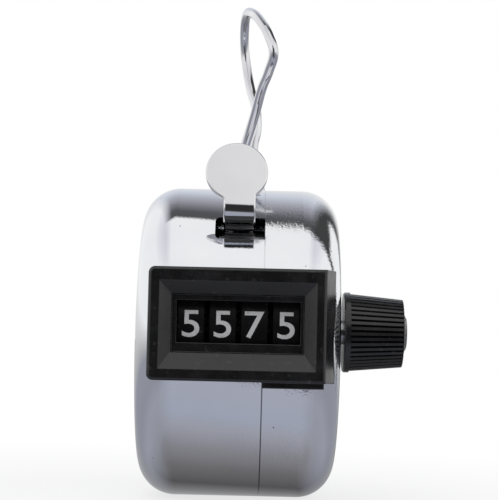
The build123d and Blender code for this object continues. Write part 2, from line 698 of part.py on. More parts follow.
def number_wheel(x, has_gear, has_carry):
    """A number wheel: drum, web and hub, with its drive gear on the right and carry teeth on the left."""
    wheel_axis = (AXIS_Y, AXIS_Z)
    widths_deg = (GEAR_TOOTH_ROOT_DEG, GEAR_TOOTH_TIP_DEG)
    gear_teeth = teeth(wheel_axis, GEAR_ROOT_R, GEAR_TIP_R, GEAR_TURNS, *widths_deg)
    carry_teeth = teeth(wheel_axis, GEAR_ROOT_R, CARRY_TIP_R, CARRY_TURNS, *widths_deg)
    with BuildPart() as wheel:
        with BuildSketch(side_plane(x - DRUM_W / 2)):
            with Locations((AXIS_Y, AXIS_Z)):
                Circle(WHEEL_R)
                Circle(RIM_IN_R, mode=Mode.SUBTRACT)
        extrude(amount=DRUM_W)
        with BuildSketch(side_plane(x - WEB_W / 2)):
            with Locations((AXIS_Y, AXIS_Z)):
                Circle((RIM_IN_R + WHEEL_R) / 2)
        extrude(amount=WEB_W)
        with BuildSketch(side_plane(x - HUB_W / 2)):
            with Locations((AXIS_Y, AXIS_Z)):
                Circle(HUB_R)
        extrude(amount=HUB_W)
        if has_gear:
            with BuildSketch(side_plane(x + WEB_W / 2)):
                with Locations((AXIS_Y, AXIS_Z)):
                    Circle(GEAR_ROOT_R)
                    Circle(GEAR_IN_R, mode=Mode.SUBTRACT)
            extrude(amount=(HUB_W - WEB_W) / 2)
            with BuildSketch(side_plane(x + DRUM_W / 2)):
                add(gear_teeth)
            extrude(amount=(HUB_W - DRUM_W) / 2)
        if has_carry:
            with BuildSketch(side_plane(x - HUB_W / 2)):
                with Locations((AXIS_Y, AXIS_Z)):
                    Circle(GEAR_ROOT_R)
                    Circle(GEAR_IN_R, mode=Mode.SUBTRACT)
            extrude(amount=(HUB_W - WEB_W) / 2)
            with BuildSketch(side_plane(x - HUB_W / 2)):
                add(carry_teeth)
            extrude(amount=(HUB_W - DRUM_W) / 2)
        with BuildSketch(side_plane(x - HUB_W)):
            with Locations((AXIS_Y, AXIS_Z)):
                Circle(SHAFT_R + RUNNING)
        extrude(amount=2 * HUB_W, mode=Mode.SUBTRACT)
    return wheel.part


for place, wheel_name in enumerate(WHEEL_NAMES):
    wheel_part = number_wheel(WHEEL_X[place], wheel_name != "units", wheel_name != "thousands")
    save(wheel_part, f"{wheel_name}_wheel")

with BuildPart() as ratchet_wheel:
    with BuildSketch(side_plane(RATCHET_X)):
        with BuildLine():
            Polyline(
                *[
                    on_axis(radius, tooth * 360 / RATCHET_TEETH + turn)
                    for tooth in range(RATCHET_TEETH)
                    for radius, turn in ((RATCHET_TIP_R, 0), (RATCHET_ROOT_R, RATCHET_RISE_DEG))
                ],
                close=True,
            )
        make_face()
        with Locations((AXIS_Y, AXIS_Z)):
            Circle(SHAFT_R + RUNNING, mode=Mode.SUBTRACT)
    extrude(amount=RATCHET_W)
save(ratchet_wheel.part, "ratchet_wheel")

pinion_first = PINION_DEG + 180 + 180 / PINION_TEETH
pinion_turns = [pinion_first + tooth * 360 / PINION_TEETH for tooth in range(PINION_TEETH)]
pinion_axis = (PINION_Y, PINION_Z)
drive_teeth = teeth(
    pinion_axis,
    PINION_ROOT_R,
    PINION_TIP_R,
    pinion_turns,
    PINION_TOOTH_ROOT_DEG,
    PINION_TOOTH_TIP_DEG,
)
locking_teeth = teeth(
    pinion_axis,
    PINION_ROOT_R,
    PINION_CARRY_R,
    pinion_turns[::2],
    PINION_TOOTH_ROOT_DEG,
    LOCKING_TOOTH_TIP_DEG,
)
for place in range(3):
    pinion_x = WHEEL_X[place] + PINION_STEP_X
    with BuildPart() as pinion:
        with BuildSketch(side_plane(pinion_x)):
            with Locations((PINION_Y, PINION_Z)):
                Circle(PINION_ROOT_R)
        extrude(amount=2 * PINION_HALF_W)
        with BuildSketch(side_plane(pinion_x)):
            add(drive_teeth)
        extrude(amount=PINION_HALF_W)
        with BuildSketch(side_plane(pinion_x + PINION_HALF_W)):
            add(locking_teeth)
        extrude(amount=PINION_HALF_W)
        with BuildSketch(side_plane(pinion_x)):
            with Locations((PINION_Y, PINION_Z)):
                Circle(PINION_SHAFT_R + RUNNING)
        extrude(amount=2 * PINION_HALF_W, mode=Mode.SUBTRACT)
    save(pinion.part, f"{WHEEL_NAMES[place]}_pinion")

pinion_shaft = rod(LEFT_PLATE_X, RIGHT_PLATE_X + PLATE_T, PINION_SHAFT_R, PINION_Y, PINION_Z)
save(pinion_shaft, "pinion_shaft")

# ---------------------------------------------------------------- thumb lever

pad_up = (sin(radians(PAD_TILT_DEG)), cos(radians(PAD_TILT_DEG)))
pad_centre = (NECK_FAR_Y + PAD_RISE * pad_up[0], NECK_Z + PAD_RISE * pad_up[1])
knee_reach = hypot(NECK_KNEE_Y - PIVOT_Y, NECK_Z - PIVOT_Z)
neck_start = (
    PIVOT_Y + (NECK_KNEE_Y - PIVOT_Y) * LEVER_HUB_R / knee_reach,
    PIVOT_Z + (NECK_Z - PIVOT_Z) * LEVER_HUB_R / knee_reach,
)
neck_line = [neck_start, (NECK_KNEE_Y, NECK_Z), (NECK_FAR_Y, NECK_Z), pad_centre]

hub_room = rod(NECK_X - NECK_W, NECK_X + NECK_W, LEVER_HUB_R, PIVOT_Y, PIVOT_Z)
with BuildPart() as thumb_lever:
    with BuildSketch(side_plane(NECK_X - NECK_W / 2)):
        with BuildLine():
            FilletPolyline(*neck_line, radius=BEND_R)
        trace(line_width=LEVER_T)
    extrude(amount=NECK_W)
    pad_plane = Plane(
        origin=(PAD_X, pad_centre[0], pad_centre[1]),
        x_dir=(1, 0, 0),
        z_dir=(0, -pad_up[1], pad_up[0]),
    )
    with BuildSketch(pad_plane.offset(-LEVER_T / 2)) as pad_outline:
        Circle(PAD_R)
        with Locations((NECK_X - PAD_X, -PAD_FLAT / 2)):
            Rectangle(NECK_W, PAD_FLAT)
        fillet(pad_outline.vertices().sort_by(Axis.Y)[2:4], PAD_FILLET)
    extrude(amount=LEVER_T)
    add(hub_room, mode=Mode.SUBTRACT)
save(thumb_lever.part, "thumb_lever")

lever_pin = rod(LEFT_PLATE_X, RIGHT_PLATE_X + PLATE_T, LEVER_PIN_R, PIVOT_Y, PIVOT_Z)
save(lever_pin, "lever_pin")

arm_deg = degrees(atan2(DRIVE_Z - PIVOT_Z, DRIVE_Y - PIVOT_Y))
arm_length = hypot(DRIVE_Z - PIVOT_Z, DRIVE_Y - PIVOT_Y)
arm_middle = Location(((PIVOT_Y + DRIVE_Y) / 2, (PIVOT_Z + DRIVE_Z) / 2, 0), (0, 0, arm_deg))
hub_bore = rod(HUB_LEFT_X, ARM_X + ARM_T, LEVER_PIN_R + RUNNING, PIVOT_Y, PIVOT_Z)
drive_pin_hole = rod(ARM_X, ARM_X + ARM_T, PAWL_PIN_R, DRIVE_Y, DRIVE_Z)
with BuildPart() as lever_hub:
    with BuildSketch(side_plane(HUB_LEFT_X)):
        with Locations((PIVOT_Y, PIVOT_Z)):
            Circle(LEVER_HUB_R)
    extrude(amount=ARM_X + ARM_T - HUB_LEFT_X)
    with BuildSketch(side_plane(ARM_X)):
        with Locations(arm_middle):
            SlotCenterToCenter(arm_length, ARM_WIDTH)
    extrude(amount=ARM_T)
    add([hub_bore, drive_pin_hole], mode=Mode.SUBTRACT)
save(lever_hub.part, "lever_hub")

with BuildPart() as lever_spring:
    with BuildLine() as coil:
        Helix(
            SPRING_PITCH,
            SPRING_LENGTH,
            SPRING_R,
            center=(SPRING_X, PIVOT_Y, PIVOT_Z),
            direction=(1, 0, 0),
        )
    with BuildSketch(Plane(origin=coil.line @ 0, z_dir=coil.line % 0)):
        Circle(SPRING_WIRE_R)
    sweep(path=coil.line)
save(lever_spring.part, "lever_spring")

# ---------------------------------------------------------------- pawls


def pawl(pivot, tip_deg, heel_deg):
    """A flat pawl from its pivot to a point just off the ratchet's tips, at this angle about its axis."""
    tip = on_axis(RATCHET_TIP_R + PAWL_GAP, tip_deg)
    heel = on_axis(RATCHET_TIP_R + PAWL_GAP + PAWL_HEEL, heel_deg)
    direction = atan2(tip[1] - pivot[1], tip[0] - pivot[0])
    across = (-sin(direction), cos(direction))
    sides = (PAWL_HALF_WIDTH, -PAWL_HALF_WIDTH)
    flank = [(pivot[0] + side * across[0], pivot[1] + side * across[1]) for side in sides]
    flank.sort(key=lambda point: hypot(point[0] - heel[0], point[1] - heel[1]))
    with BuildPart() as piece:
        with BuildSketch(side_plane(PAWL_X)):
            with Locations(pivot):
                Circle(PAWL_HUB_R)
            with BuildLine():
                Polyline(flank[0], heel, tip, flank[1], close=True)
            make_face()
            with Locations(pivot):
                Circle(PAWL_PIN_R + RUNNING, mode=Mode.SUBTRACT)
        extrude(amount=PAWL_T)
    return piece.part


save(pawl((DRIVE_Y, DRIVE_Z), DRIVE_TIP_DEG, DRIVE_TIP_DEG + HEEL_DEG), "drive_pawl")
save(pawl((CHECK_Y, CHECK_Z), CHECK_TIP_DEG, CHECK_TIP_DEG - HEEL_DEG), "check_pawl")
save(rod(PAWL_X, ARM_X + ARM_T, PAWL_PIN_R, DRIVE_Y, DRIVE_Z), "drive_pawl_pin")
save(rod(PAWL_X, RIGHT_PLATE_X + PLATE_T, PAWL_PIN_R, CHECK_Y, CHECK_Z), "check_pawl_pin")

with BuildPart() as check_pawl_spring:
    with BuildSketch(side_plane(PAWL_X)):
        with BuildLine():
            FilletPolyline(*CHECK_SPRING_LINE, radius=CHECK_SPRING_BEND_R)
        trace(line_width=CHECK_SPRING_T)
    extrude(amount=PAWL_T)
save(check_pawl_spring.part, "check_pawl_spring")

# ---------------------------------------------------------------- finger ring and bracket

FOOT_LOW_DEG = RING_AXIS_DEG - FOOT_DEG
foot_sector = sector(CASE_R + FIT + FOOT_T, FOOT_LOW_DEG, RING_AXIS_DEG)
with BuildPart() as ring_bracket:
    with BuildSketch(side_plane(RING_X - LUG_W / 2)):
        add(foot_sector)
        Circle(CASE_R + FIT, mode=Mode.SUBTRACT)
        with Locations((RING_Y, RING_Z)):
            Circle(LUG_R)
            Circle(RING_WIRE_R + RUNNING, mode=Mode.SUBTRACT)
        Circle(CASE_R + FIT, mode=Mode.SUBTRACT)
    extrude(amount=LUG_W)
    for angle in BRACKET_RIVET_DEG:
        with BuildSketch(rivet_plane(angle, CASE_R)):
            Circle(RIVET_R)
        extrude(amount=2 * FOOT_T, mode=Mode.SUBTRACT)
save(ring_bracket.part, "ring_bracket")

with BuildPart() as bracket_rivets:
    for angle in BRACKET_RIVET_DEG:
        tail_distance = CASE_R - SHEET - RIVET_TAIL_T
        head_distance = CASE_R + 2 * FIT + FOOT_T
        with BuildSketch(rivet_plane(angle, tail_distance)):
            Circle(RIVET_R)
        extrude(amount=head_distance - tail_distance)
        with BuildSketch(rivet_plane(angle, tail_distance - FIT)):
            Circle(RIVET_TAIL_R)
        extrude(amount=RIVET_TAIL_T)
        with BuildSketch(rivet_plane(angle, head_distance)):
            Circle(RIVET_HEAD_R)
        extrude(amount=RIVET_HEAD_T, taper=RIVET_TAPER_DEG)
save(bracket_rivets.part, "bracket_rivets")

# The wire starts in the lug's left mouth, runs round the loop and ends in its right mouth.
hook_x = LUG_W / 2 + HOOK_R + FIT
ring_offsets = [
    (HOOK_DEPTH - LUG_W / 2, 0, 0),
    (-hook_x, 0, 0),
    (-0.3, -1.8, 9.0),
    (1.2, -4.0, 13.5),
    (4.5, -14.0, 21.8),
    (2.7, -11.0, 27.0),
    (0.4, -2.0, 31.4),
    (-0.9, 8.0, 30.4),
    (-0.3, 9.4, 24.0),
    (0.9, 4.8, 18.5),
    (2.0, 1.6, 13.9),
    (1.2, 0.7, 10.0),
    (hook_x, 0, 0),
    (LUG_W / 2 - HOOK_DEPTH, 0, 0),
]
ring_radii = [HOOK_R, 7.0, 6.0, 3.0, 6.0, 7.0, 3.5, 8.0, 8.0, 4.0, 4.0, HOOK_R]
ring_points = [(RING_X + x, RING_Y + y, RING_Z + z) for x, y, z in ring_offsets]
with BuildPart() as finger_ring:
    with BuildLine() as ring_line:
        FilletPolyline(*ring_points, radius=ring_radii)
    with BuildSketch(Plane(origin=ring_line.line @ 0, z_dir=ring_line.line % 0)):
        Circle(RING_WIRE_R)
    sweep(path=ring_line.line)
save(finger_ring.part, "finger_ring")
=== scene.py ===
"""Looks for the hand tally counter: materials, printed numbers, the finger ring's wire, light and camera.

Metres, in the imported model's own frame: X along the case axis, -Y out of the window, Z up.
"""

import json
from math import cos, pi, radians, sin

import bmesh
import bpy
from mathutils import Matrix, Vector

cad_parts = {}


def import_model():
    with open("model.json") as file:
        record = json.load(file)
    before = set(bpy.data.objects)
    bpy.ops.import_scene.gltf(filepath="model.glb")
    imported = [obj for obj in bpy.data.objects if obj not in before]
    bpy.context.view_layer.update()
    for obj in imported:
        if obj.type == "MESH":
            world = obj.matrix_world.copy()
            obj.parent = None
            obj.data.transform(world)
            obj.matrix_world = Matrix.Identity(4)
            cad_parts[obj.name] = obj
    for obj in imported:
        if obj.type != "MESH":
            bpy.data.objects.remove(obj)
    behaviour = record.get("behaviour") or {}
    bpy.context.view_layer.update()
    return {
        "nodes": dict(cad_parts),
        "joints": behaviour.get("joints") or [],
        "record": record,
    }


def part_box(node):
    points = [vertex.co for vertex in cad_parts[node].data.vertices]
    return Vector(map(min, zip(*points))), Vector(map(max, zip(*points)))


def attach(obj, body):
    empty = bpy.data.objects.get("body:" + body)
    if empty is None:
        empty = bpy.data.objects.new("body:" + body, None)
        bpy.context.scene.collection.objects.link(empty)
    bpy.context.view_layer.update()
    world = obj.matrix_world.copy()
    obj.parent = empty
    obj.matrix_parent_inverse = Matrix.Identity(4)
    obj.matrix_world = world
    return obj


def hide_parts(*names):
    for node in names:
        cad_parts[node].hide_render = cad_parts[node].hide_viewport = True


MM = 0.001

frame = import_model()
joints = {joint["name"]: joint for joint in frame["joints"]}
bodies = {node: body for body, nodes in frame["record"]["behaviour"]["bodies"].items() for node in nodes}

# What the four wheels show at rest, from left to right
SHOWN = {"thousands": 5, "hundreds": 5, "tens": 7, "units": 5}


def low(node):
    """A node's lowest corner at rest."""
    return Vector(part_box(node)[0])


def high(node):
    """A node's highest corner at rest."""
    return Vector(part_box(node)[1])


def middle(node):
    """The middle of a node's box at rest."""
    return (low(node) + high(node)) / 2


# ---------------------------------------------------------------- material helpers


def new_material(name):
    """An empty node material with its shader, ready to be given detail."""
    material = bpy.data.materials.new(name)
    material.use_nodes = True
    tree = material.node_tree
    shader = tree.nodes["Principled BSDF"]
    place = tree.nodes.new("ShaderNodeTexCoord")
    return material, tree, shader, place.outputs["Object"]


def noise(tree, place, size, detail=3.0, stretch=(1, 1, 1), roughness=0.5):
    """A noise value whose features are about this large, in metres."""
    mapping = tree.nodes.new("ShaderNodeMapping")
    mapping.inputs["Scale"].default_value = [axis / size for axis in stretch]
    tree.links.new(place, mapping.inputs["Vector"])
    node = tree.nodes.new("ShaderNodeTexNoise")
    node.inputs["Scale"].default_value = 1.0
    node.inputs["Detail"].default_value = detail
    node.inputs["Roughness"].default_value = roughness
    tree.links.new(mapping.outputs["Vector"], node.inputs["Vector"])
    return node.outputs["Fac"]


def specks(tree, place, size, share):
    """Small scattered spots: 1 in a spot and 0 elsewhere, with cells this large."""
    mapping = tree.nodes.new("ShaderNodeMapping")
    mapping.inputs["Scale"].default_value = [1 / size] * 3
    tree.links.new(place, mapping.inputs["Vector"])
    node = tree.nodes.new("ShaderNodeTexVoronoi")
    node.inputs["Scale"].default_value = 1.0
    tree.links.new(mapping.outputs["Vector"], node.inputs["Vector"])
    return remap(tree, node.outputs["Distance"], share, share * 0.6, 0.0, 1.0)


def remap(tree, value, from_low, from_high, to_low, to_high):
    """The value carried from one range to another and clamped."""
    node = tree.nodes.new("ShaderNodeMapRange")
    node.inputs["From Min"].default_value = from_low
    node.inputs["From Max"].default_value = from_high
    node.inputs["To Min"].default_value = to_low
    node.inputs["To Max"].default_value = to_high
    tree.links.new(value, node.inputs["Value"])
    return node.outputs["Result"]


def combine(tree, operation, first, second):
    """Two values, or a value and a number, put together by a math operation."""
    node = tree.nodes.new("ShaderNodeMath")
    node.operation = operation
    for socket, value in zip(node.inputs, (first, second)):
        if isinstance(value, (int, float)):
            socket.default_value = value
        else:
            tree.links.new(value, socket)
    return node.outputs["Value"]


def mix_colour(tree, factor, first, second):
    """A colour between two, by a factor. Either colour may be a socket."""
    node = tree.nodes.new("ShaderNodeMix")
    node.data_type = "RGBA"
    tree.links.new(factor, node.inputs["Factor"])
    for socket, value in ((node.inputs["A"], first), (node.inputs["B"], second)):
        if isinstance(value, tuple):
            socket.default_value = (*value, 1.0)
        else:
            tree.links.new(value, socket)
    return node.outputs["Result"]


def blend_values(tree, factor, first, second):
    """A value between two, by a factor."""
    node = tree.nodes.new("ShaderNodeMix")
    tree.links.new(factor, node.inputs["Factor"])
    tree.links.new(first, node.inputs["A"])
    tree.links.new(second, node.inputs["B"])
    return node.outputs["Result"]


def bump(tree, height, distance, under=None, strength=1.0):
    """A bump of this height, in metres, over another bump if one is given."""
    node = tree.nodes.new("ShaderNodeBump")
    node.inputs["Distance"].default_value = distance
    node.inputs["Strength"].default_value = strength
    tree.links.new(height, node.inputs["Height"])
    if under is not None:
        tree.links.new(under, node.inputs["Normal"])
    return node.outputs["Normal"]


# ---------------------------------------------------------------- materials


def plated_metal(name, colour, dull_colour, gloss, wave, peel, pit_gloss=None, brush=None, seam=None):
    """Bright plating: slow waves, a fine orange peel and faint smears.

    It may also have tiny dark pits of a given roughness, brushing in one direction, and painted shade
    along a seam at a given X, standing for the shadow in the gap, which is faint towards the top where
    highlights wash it out.
    """
    material, tree, shader, place = new_material(name)
    shader.inputs["Metallic"].default_value = 1.0
    across = tree.nodes.new("ShaderNodeSeparateXYZ")
    tree.links.new(place, across.inputs["Vector"])
    x, z = across.outputs["X"], across.outputs["Z"]

    smear = remap(tree, noise(tree, place, 9 * MM, detail=4), 0.35, 0.75, 0.0, 1.0)
    base = mix_colour(tree, smear, colour, dull_colour)
    if seam is not None:
        # Painted shade along the seam between the shells: a dark line, strongest low down and faint
        # towards the top
        aside = combine(tree, "ABSOLUTE", combine(tree, "SUBTRACT", x, seam), 0.0)
        seam_shade = remap(tree, aside, 0.05 * MM, 0.12 * MM, 0.85, 0.0)
        seam_shade = combine(tree, "MULTIPLY", seam_shade, remap(tree, z, 0.0, 8 * MM, 1.0, 0.2))
        base = mix_colour(tree, seam_shade, base, (0.05, 0.05, 0.055))
    streak = noise(tree, place, 1.1 * MM, detail=2, stretch=(0.12, 1, 1))
    rough = remap(tree, streak, 0.3, 0.8, *gloss)
    if pit_gloss is not None:
        pit = specks(tree, place, 3.6 * MM, 0.036)
        base = mix_colour(tree, pit, base, (0.10, 0.10, 0.11))
        rough = combine(tree, "MAXIMUM", rough, remap(tree, pit, 0, 1, 0, pit_gloss))
    tree.links.new(base, shader.inputs["Base Color"])
    tree.links.new(rough, shader.inputs["Roughness"])

    # The peel comes in patches and grows stronger to the right.
    patchy = remap(tree, noise(tree, place, 7 * MM, detail=2), 0.35, 0.65, 0.5, 1.0)
    stronger = remap(tree, x, 10 * MM, 25 * MM, 0.12, 1.0)
    pebble = combine(tree, "MULTIPLY", noise(tree, place, 0.30 * MM, detail=2), stronger)
    normal = bump(tree, noise(tree, place, 4.5 * MM, detail=1), wave)
    normal = bump(tree, combine(tree, "MULTIPLY", pebble, patchy), peel, normal)
    if brush:
        grain = noise(tree, place, 0.22 * MM, detail=2, stretch=brush)
        normal = bump(tree, grain, 0.0016 * MM, normal)
    tree.links.new(normal, shader.inputs["Normal"])
    return material


def moulded_plastic(name, colour, worn_colour, gloss, shine=0.5, dust=0.0):
    """Moulded plastic: a fine grain from the mould, rubbed patches and a little dust."""
    material, tree, shader, place = new_material(name)
    rubbed = remap(tree, noise(tree, place, 5 * MM, detail=5), 0.45, 0.75, 0.0, 1.0)
    base = mix_colour(tree, rubbed, colour, worn_colour)
    if dust:
        spot = specks(tree, place, 1.7 * MM, 0.055)
        lint = remap(tree, noise(tree, place, 0.8 * MM, detail=6), 0.62, 0.70, 0.0, dust)
        amount = combine(tree, "MAXIMUM", combine(tree, "MULTIPLY", spot, dust), lint)
        base = mix_colour(tree, amount, base, (0.10, 0.10, 0.10))
    tree.links.new(base, shader.inputs["Base Color"])
    shader.inputs["Specular IOR Level"].default_value = shine
    rough = remap(tree, noise(tree, place, 2.5 * MM, detail=4), 0.3, 0.7, *gloss)
    tree.links.new(rough, shader.inputs["Roughness"])
    normal = bump(tree, noise(tree, place, 0.16 * MM, detail=3), 0.003 * MM)
    normal = bump(tree, noise(tree, place, 3 * MM, detail=1), 0.012 * MM, normal)
    tree.links.new(normal, shader.inputs["Normal"])
    return material


def plain_metal(name, colour, dark_colour, gloss, stretch=(1, 1, 1)):
    """Unplated inner metal: mill grain, dull patches and small scratches."""
    material, tree, shader, place = new_material(name)
    patch = remap(tree, noise(tree, place, 3 * MM, detail=5), 0.35, 0.7, 0.0, 1.0)
    tree.links.new(mix_colour(tree, patch, colour, dark_colour), shader.inputs["Base Color"])
    shader.inputs["Metallic"].default_value = 1.0
    grain = noise(tree, place, 0.25 * MM, detail=3, stretch=stretch)
    tree.links.new(remap(tree, grain, 0.3, 0.7, *gloss), shader.inputs["Roughness"])
    tree.links.new(bump(tree, grain, 0.003 * MM), shader.inputs["Normal"])
    return material


def number_paint():
    """Off-white printing ink with worn spots."""
    material, tree, shader, place = new_material("number_paint")
    worn = remap(tree, noise(tree, place, 0.7 * MM, detail=5), 0.56, 0.72, 0.0, 0.5)
    base = mix_colour(tree, worn, (0.42, 0.42, 0.43), (0.14, 0.14, 0.145))
    tree.links.new(base, shader.inputs["Base Color"])
    rough = remap(tree, noise(tree, place, 0.4 * MM), 0.3, 0.7, 0.45, 0.65)
    tree.links.new(rough, shader.inputs["Roughness"])
    tree.links.new(bump(tree, noise(tree, place, 0.12 * MM), 0.004 * MM), shader.inputs["Normal"])
    return material


materials = {
    "chrome_case": plated_metal(
        "chrome_case",
        colour=(0.83, 0.84, 0.86),
        dull_colour=(0.79, 0.80, 0.83),
        gloss=(0.012, 0.040),
        wave=0.008 * MM,
        peel=0.021 * MM,
        pit_gloss=0.4,
        seam=high("left_shell").x,
    ),
    "lever_plate": plated_metal(
        "lever_plate",
        colour=(0.78, 0.78, 0.79),
        dull_colour=(0.73, 0.73, 0.745),
        gloss=(0.06, 0.11),
        wave=0.004 * MM,
        peel=0.003 * MM,
        brush=(1, 0.06, 0.06),
    ),
    "ring_wire": plated_metal(
        "ring_wire",
        colour=(0.80, 0.80, 0.82),
        dull_colour=(0.60, 0.60, 0.63),
        gloss=(0.03, 0.08),
        wave=0.006 * MM,
        peel=0.003 * MM,
    ),
    "black_plastic": moulded_plastic(
        "black_plastic",
        colour=(0.003, 0.003, 0.0035),
        worn_colour=(0.006, 0.006, 0.007),
        gloss=(0.20, 0.32),
        shine=0.65,
        dust=0.12,
    ),
    "wheel_plastic": moulded_plastic(
        "wheel_plastic",
        colour=(0.003, 0.003, 0.0035),
        worn_colour=(0.005, 0.005, 0.0055),
        gloss=(0.30, 0.45),
        shine=0.12,
        dust=0.1,
    ),
    "pinion_plastic": moulded_plastic(
        "pinion_plastic",
        colour=(0.70, 0.69, 0.64),
        worn_colour=(0.60, 0.58, 0.52),
        gloss=(0.40, 0.55),
    ),
    "frame_steel": plain_metal(
        "frame_steel",
        colour=(0.50, 0.50, 0.51),
        dark_colour=(0.36, 0.36, 0.37),
        gloss=(0.28, 0.48),
    ),
    "pin_steel": plain_metal(
        "pin_steel",
        colour=(0.62, 0.62, 0.63),
        dark_colour=(0.48, 0.48, 0.50),
        gloss=(0.15, 0.32),
        stretch=(0.1, 1, 1),
    ),
    "spring_steel": plain_metal(
        "spring_steel",
        colour=(0.36, 0.36, 0.38),
        dark_colour=(0.22, 0.22, 0.24),
        gloss=(0.25, 0.42),
    ),
    "brass": plain_metal(
        "brass",
        colour=(0.78, 0.60, 0.28),
        dark_colour=(0.55, 0.40, 0.18),
        gloss=(0.20, 0.40),
    ),
    "screw_steel": plain_metal(
        "screw_steel",
        colour=(0.66, 0.66, 0.68),
        dark_colour=(0.50, 0.50, 0.52),
        gloss=(0.18, 0.34),
    ),
}
ink = number_paint()

slot_of = {part["node"]: part["material_slot"] for part in frame["record"]["subparts"]}
for node, slot in slot_of.items():
    for holder in frame["nodes"][node].material_slots:
        holder.material = materials[slot]


# ---------------------------------------------------------------- pieces


def link(name, mesh, material):
    """A new mesh object in the scene, with its material."""
    piece = bpy.data.objects.new(name, mesh)
    bpy.context.scene.collection.objects.link(piece)
    mesh.materials.clear()
    mesh.materials.append(material)
    return piece


# Points closer than this are one, and faces turned by less than this lie in one plane.
WELD = 0.0005 * MM
SAME_PLANE = radians(0.3)
SHARP_FROM = radians(28.0)
ROUNDING_STEPS = 3


def softened(node, name, width):
    """A copy of a CAD node whose sharp edges are rounded over, which stands for the node."""
    mesh = bpy.data.meshes.new(name)
    shape = bmesh.new()
    shape.from_mesh(frame["nodes"][node].data)
    bmesh.ops.remove_doubles(shape, verts=shape.verts, dist=WELD)
    bmesh.ops.dissolve_limit(
        shape, angle_limit=SAME_PLANE, verts=shape.verts, edges=shape.edges, delimit=set()
    )
    shape.normal_update()
    shape.to_mesh(mesh)
    shape.free()
    mesh.polygons.foreach_set("use_smooth", [True] * len(mesh.polygons))
    piece = link(name, mesh, materials[slot_of[node]])
    rounding = piece.modifiers.new("rounding", "BEVEL")
    rounding.width = width
    rounding.segments = ROUNDING_STEPS
    rounding.limit_method = "ANGLE"
    rounding.angle_limit = SHARP_FROM
    rounding.use_clamp_overlap = True
    flats = piece.modifiers.new("flats", "WEIGHTED_NORMAL")
    flats.mode = "FACE_AREA"
    flats.weight = 100
    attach(piece, bodies[node])
    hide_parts(node)


softened("thumb_lever", "thumb_lever_pressing", 0.28 * MM)
softened("window_bezel", "window_surround", 0.14 * MM)

DIGIT_HEIGHT = 3.75 * MM
DIGIT_STRETCH = 1.12
DIGIT_WEIGHT = 0.006
DIGIT_ROWS = 14
DIGIT_SMOOTHNESS = 6
SLAB_HALF = 0.5
SLAB_WELD = 1e-5
INK_HEIGHT = 0.02 * MM
INK_ROOT = 0.01 * MM
READING_TILT = radians(4.0)
DIGIT_STEP = 2 * pi / 10


def digit_shape(digit):
    """One digit as a flat closed slab at its printed size, cut into thin rows so that it can bend."""
    text = bpy.data.curves.new(f"digit_{digit}", "FONT")
    text.body = str(digit)
    text.extrude = SLAB_HALF
    text.offset = DIGIT_WEIGHT
    text.resolution_u = DIGIT_SMOOTHNESS
    carrier = bpy.data.objects.new(f"digit_{digit}", text)
    mesh = bpy.data.meshes.new_from_object(carrier)
    bpy.data.objects.remove(carrier)
    shape = bmesh.new()
    shape.from_mesh(mesh)
    bpy.data.meshes.remove(mesh)
    bmesh.ops.remove_doubles(shape, verts=shape.verts, dist=SLAB_WELD)
    xs = [vertex.co.x for vertex in shape.verts]
    ys = [vertex.co.y for vertex in shape.verts]
    centre = Vector(((min(xs) + max(xs)) / 2, (min(ys) + max(ys)) / 2, 0))
    size = DIGIT_HEIGHT / (max(ys) - min(ys))
    bmesh.ops.translate(shape, verts=shape.verts, vec=-centre)
    bmesh.ops.scale(shape, verts=shape.verts, vec=(size * DIGIT_STRETCH, size, 1))
    for row in range(1, DIGIT_ROWS):
        cut = DIGIT_HEIGHT * (row / DIGIT_ROWS - 0.5)
        geometry = shape.verts[:] + shape.edges[:] + shape.faces[:]
        bmesh.ops.bisect_plane(shape, geom=geometry, plane_co=(0, cut, 0), plane_no=(0, 1, 0))
    return shape


def print_numbers(place):
    """The ten printed digits of one number wheel, wrapped round its drum."""
    node = f"{place}_wheel"
    axis = Vector(joints[f"{place}_turn"]["pos_m"])
    wheel_x = middle(node).x
    radius = (high(node).z - low(node).z) / 2
    whole = bmesh.new()
    for digit in range(10):
        shape = digit_shape(digit)
        start = READING_TILT - (digit - SHOWN[place]) * DIGIT_STEP
        for vertex in shape.verts:
            turn = start + vertex.co.y / radius
            reach = radius + (INK_HEIGHT if vertex.co.z > 0 else -INK_ROOT)
            out = Vector((0, -cos(turn), sin(turn))) * reach
            vertex.co = Vector((wheel_x + vertex.co.x, axis.y, axis.z)) + out
        part = bpy.data.meshes.new("part")
        shape.to_mesh(part)
        shape.free()
        whole.from_mesh(part)
        bpy.data.meshes.remove(part)
    mesh = bpy.data.meshes.new(f"{place}_numbers")
    bmesh.ops.recalc_face_normals(whole, faces=whole.faces)
    whole.to_mesh(mesh)
    whole.free()
    piece = link(f"{place}_numbers", mesh, ink)
    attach(piece, bodies[node])


for place in SHOWN:
    print_numbers(place)

# The ring's centre line: offsets from its hinge, in millimetres, from the left hook round to the right one
RING_LINE = [
    (-0.2, 0.0, 0.0),
    (-1.5, 0.0, 0.0),
    (-2.5, -0.2, 1.3),
    (-1.6, -0.9, 5.0),
    (0.1, -2.0, 10.3),
    (1.4, -4.5, 14.5),
    (2.3, -8.0, 17.7),
    (3.3, -11.2, 20.0),
    (3.9, -12.7, 22.4),
    (3.2, -11.8, 25.0),
    (1.9, -8.2, 28.0),
    (0.5, -2.5, 30.5),
    (-0.4, 3.2, 31.2),
    (-0.7, 7.2, 29.6),
    (-0.6, 8.8, 26.6),
    (-0.1, 8.4, 23.0),
    (0.6, 5.9, 19.3),
    (1.5, 2.9, 15.8),
    (1.7, 1.3, 12.5),
    (1.2, 0.7, 9.5),
    (1.6, 0.3, 5.0),
    (2.5, 0.0, 1.3),
    (1.5, 0.0, 0.0),
    (0.2, 0.0, 0.0),
]

WIRE_RADIUS = 0.75 * MM
WIRE_SIDES = 7
WIRE_STEPS = 10
HOOK_STRAIGHT = 0.6 * MM


